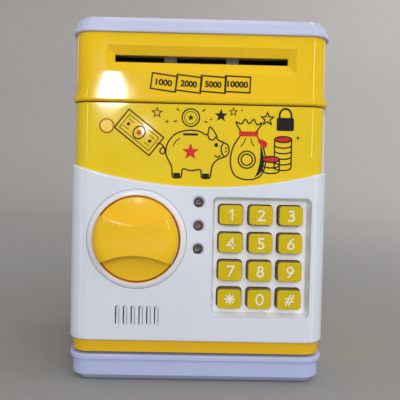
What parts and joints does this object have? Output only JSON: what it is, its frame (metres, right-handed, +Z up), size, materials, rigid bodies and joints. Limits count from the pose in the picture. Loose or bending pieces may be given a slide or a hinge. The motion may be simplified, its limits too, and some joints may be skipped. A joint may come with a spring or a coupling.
{
  "type": "toy atm savings bank",
  "caption": "Upright toy cash-machine savings bank with a note slot and motor feed above a hinged safe door with a turning knob, keypad, indicator lamps and speaker grille.",
  "frame": {"origin": "middle of the footprint, on the surface that the feet stand on; +Z up, the door and note slot face -Y", "axes": "+Z up, +X to the right seen from the front, +Y from the front to the back"},
  "size_m": [0.1356, 0.1284, 0.19],
  "materials": {
    "lid_plastic": "glossy injection-moulded ABS, lavender white",
    "base_plastic": "glossy injection-moulded ABS, lavender",
    "housing_plastic": "glossy injection-moulded ABS, warm yellow",
    "door_plastic": "glossy injection-moulded ABS, yellow",
    "white_plastic": "glossy injection-moulded ABS, cool white",
    "knob_plastic": "glossy injection-moulded ABS, golden yellow",
    "key_plastic": "satin moulded plastic, olive yellow",
    "grey_plastic": "satin moulded plastic, light grey",
    "steel": "bright zinc-plated steel",
    "gear_plastic": "natural acetal",
    "roller_rubber": "dark grey moulded rubber",
    "circuit_board": "green solder resist over glass fibre",
    "component_black": "black moulded component bodies",
    "led_clear": "clear epoxy",
    "speaker_paper": "black pressed paper",
    "cell_wrap": "plain printed shrink sleeve over steel"
  },
  "bodies": {
    "case": {"top_cap": "lid_plastic", "upper_housing": "housing_plastic", "deck_plate": "grey_plastic", "coin_chute": "grey_plastic", "rear_shell": "housing_plastic", "hinge_pin": "steel", "base_cap": "base_plastic", "chamber_floor": "grey_plastic", "battery_cover": "base_plastic", "battery_screw": "steel", "battery_cells": "cell_wrap", "battery_contacts": "steel", "base_screws": "steel", "deck_screws": "steel", "feed_frame": "grey_plastic", "idler_axle": "steel", "feed_motor": "steel", "note_sensor": "component_black", "main_board": "circuit_board", "board_chips": "component_black"},
    "door": {"door_panel": "door_plastic", "front_plate": "white_plastic", "hinge_rail": "white_plastic", "blanking_plug": "door_plastic", "knob_bezel": "white_plastic", "bolt_guides": "grey_plastic", "lock_coil": "steel", "keypad_mat": "roller_rubber", "keypad_board": "circuit_board", "status_leds": "led_clear", "led_board": "circuit_board", "speaker_frame": "steel", "speaker_cone": "speaker_paper", "door_liner": "grey_plastic", "liner_screws": "steel"},
    "knob": {"lock_knob": "knob_plastic", "knob_crank": "gear_plastic", "knob_screw": "steel"},
    "latch": {"latch_bolt": "steel"},
    "lock_pin": {"lock_plunger": "steel"},
    "feed_roller": {"drive_shaft": "steel", "feed_rollers": "roller_rubber", "drive_gear": "gear_plastic"},
    "idler": {"idler_gear": "gear_plastic"},
    "motor_rotor": {"motor_pinion": "gear_plastic"},
    "pinch_roller": {"pinch_shaft": "steel", "pinch_rollers": "roller_rubber"},
    "key_1": {"key_1": "key_plastic"},
    "key_2": {"key_2": "key_plastic"},
    "key_3": {"key_3": "key_plastic"},
    "key_4": {"key_4": "key_plastic"},
    "key_5": {"key_5": "key_plastic"},
    "key_6": {"key_6": "key_plastic"},
    "key_7": {"key_7": "key_plastic"},
    "key_8": {"key_8": "key_plastic"},
    "key_9": {"key_9": "key_plastic"},
    "key_star": {"key_star": "key_plastic"},
    "key_0": {"key_0": "key_plastic"},
    "key_hash": {"key_hash": "key_plastic"}
  },
  "joints": [
    {"name": "door_hinge", "type": "hinge", "parent": "case", "child": "door", "pos_m": [0.0648, -0.03615, 0.08], "axis": [0, 0, 1], "range_deg": [0, 105]},
    {"name": "knob_turn", "type": "hinge", "parent": "door", "child": "knob", "pos_m": [-0.0316, -0.05325, 0.0752], "axis": [0, -1, 0], "range_deg": [0, 90]},
    {"name": "latch_slide", "type": "slide", "parent": "door", "child": "latch", "axis": [-1, 0, 0], "range_m": [0, 0.00609]},
    {"name": "lock_pin_slide", "type": "slide", "parent": "door", "child": "lock_pin", "axis": [0, 0, -1], "range_m": [0, 0.0025], "stiffness_N_per_m": 60, "springref_m": -0.002},
    {"name": "feed_spin", "type": "hinge", "parent": "case", "child": "feed_roller", "pos_m": [0, -0.03875, 0.1617], "axis": [1, 0, 0], "continuous": true},
    {"name": "idler_spin", "type": "hinge", "parent": "case", "child": "idler", "pos_m": [0.055, -0.02435, 0.1617], "axis": [1, 0, 0], "continuous": true},
    {"name": "motor_spin", "type": "hinge", "parent": "case", "child": "motor_rotor", "pos_m": [0.055, -0.00835, 0.1617], "axis": [1, 0, 0], "continuous": true},
    {"name": "pinch_spin", "type": "hinge", "parent": "case", "child": "pinch_roller", "pos_m": [0, -0.03875, 0.173], "axis": [1, 0, 0], "continuous": true},
    {"name": "key_1_press", "type": "slide", "parent": "door", "child": "key_1", "axis": [0, 1, 0], "range_m": [0, 0.0012], "stiffness_N_per_m": 150, "springref_m": -0.001},
    {"name": "key_2_press", "type": "slide", "parent": "door", "child": "key_2", "axis": [0, 1, 0], "range_m": [0, 0.0012], "stiffness_N_per_m": 150, "springref_m": -0.001},
    {"name": "key_3_press", "type": "slide", "parent": "door", "child": "key_3", "axis": [0, 1, 0], "range_m": [0, 0.0012], "stiffness_N_per_m": 150, "springref_m": -0.001},
    {"name": "key_4_press", "type": "slide", "parent": "door", "child": "key_4", "axis": [0, 1, 0], "range_m": [0, 0.0012], "stiffness_N_per_m": 150, "springref_m": -0.001},
    {"name": "key_5_press", "type": "slide", "parent": "door", "child": "key_5", "axis": [0, 1, 0], "range_m": [0, 0.0012], "stiffness_N_per_m": 150, "springref_m": -0.001},
    {"name": "key_6_press", "type": "slide", "parent": "door", "child": "key_6", "axis": [0, 1, 0], "range_m": [0, 0.0012], "stiffness_N_per_m": 150, "springref_m": -0.001},
    {"name": "key_7_press", "type": "slide", "parent": "door", "child": "key_7", "axis": [0, 1, 0], "range_m": [0, 0.0012], "stiffness_N_per_m": 150, "springref_m": -0.001},
    {"name": "key_8_press", "type": "slide", "parent": "door", "child": "key_8", "axis": [0, 1, 0], "range_m": [0, 0.0012], "stiffness_N_per_m": 150, "springref_m": -0.001},
    {"name": "key_9_press", "type": "slide", "parent": "door", "child": "key_9", "axis": [0, 1, 0], "range_m": [0, 0.0012], "stiffness_N_per_m": 150, "springref_m": -0.001},
    {"name": "key_star_press", "type": "slide", "parent": "door", "child": "key_star", "axis": [0, 1, 0], "range_m": [0, 0.0012], "stiffness_N_per_m": 150, "springref_m": -0.001},
    {"name": "key_0_press", "type": "slide", "parent": "door", "child": "key_0", "axis": [0, 1, 0], "range_m": [0, 0.0012], "stiffness_N_per_m": 150, "springref_m": -0.001},
    {"name": "key_hash_press", "type": "slide", "parent": "door", "child": "key_hash", "axis": [0, 1, 0], "range_m": [0, 0.0012], "stiffness_N_per_m": 150, "springref_m": -0.001}
  ],
  "couplings": [
    {"joint": "latch_slide", "follows": "knob_turn", "m_per_rad": 0.0038714},
    {"joint": "idler_spin", "follows": "feed_spin", "ratio": -2},
    {"joint": "motor_spin", "follows": "feed_spin", "ratio": 4.6667},
    {"joint": "pinch_spin", "follows": "feed_spin", "ratio": -1.619}
  ]
}
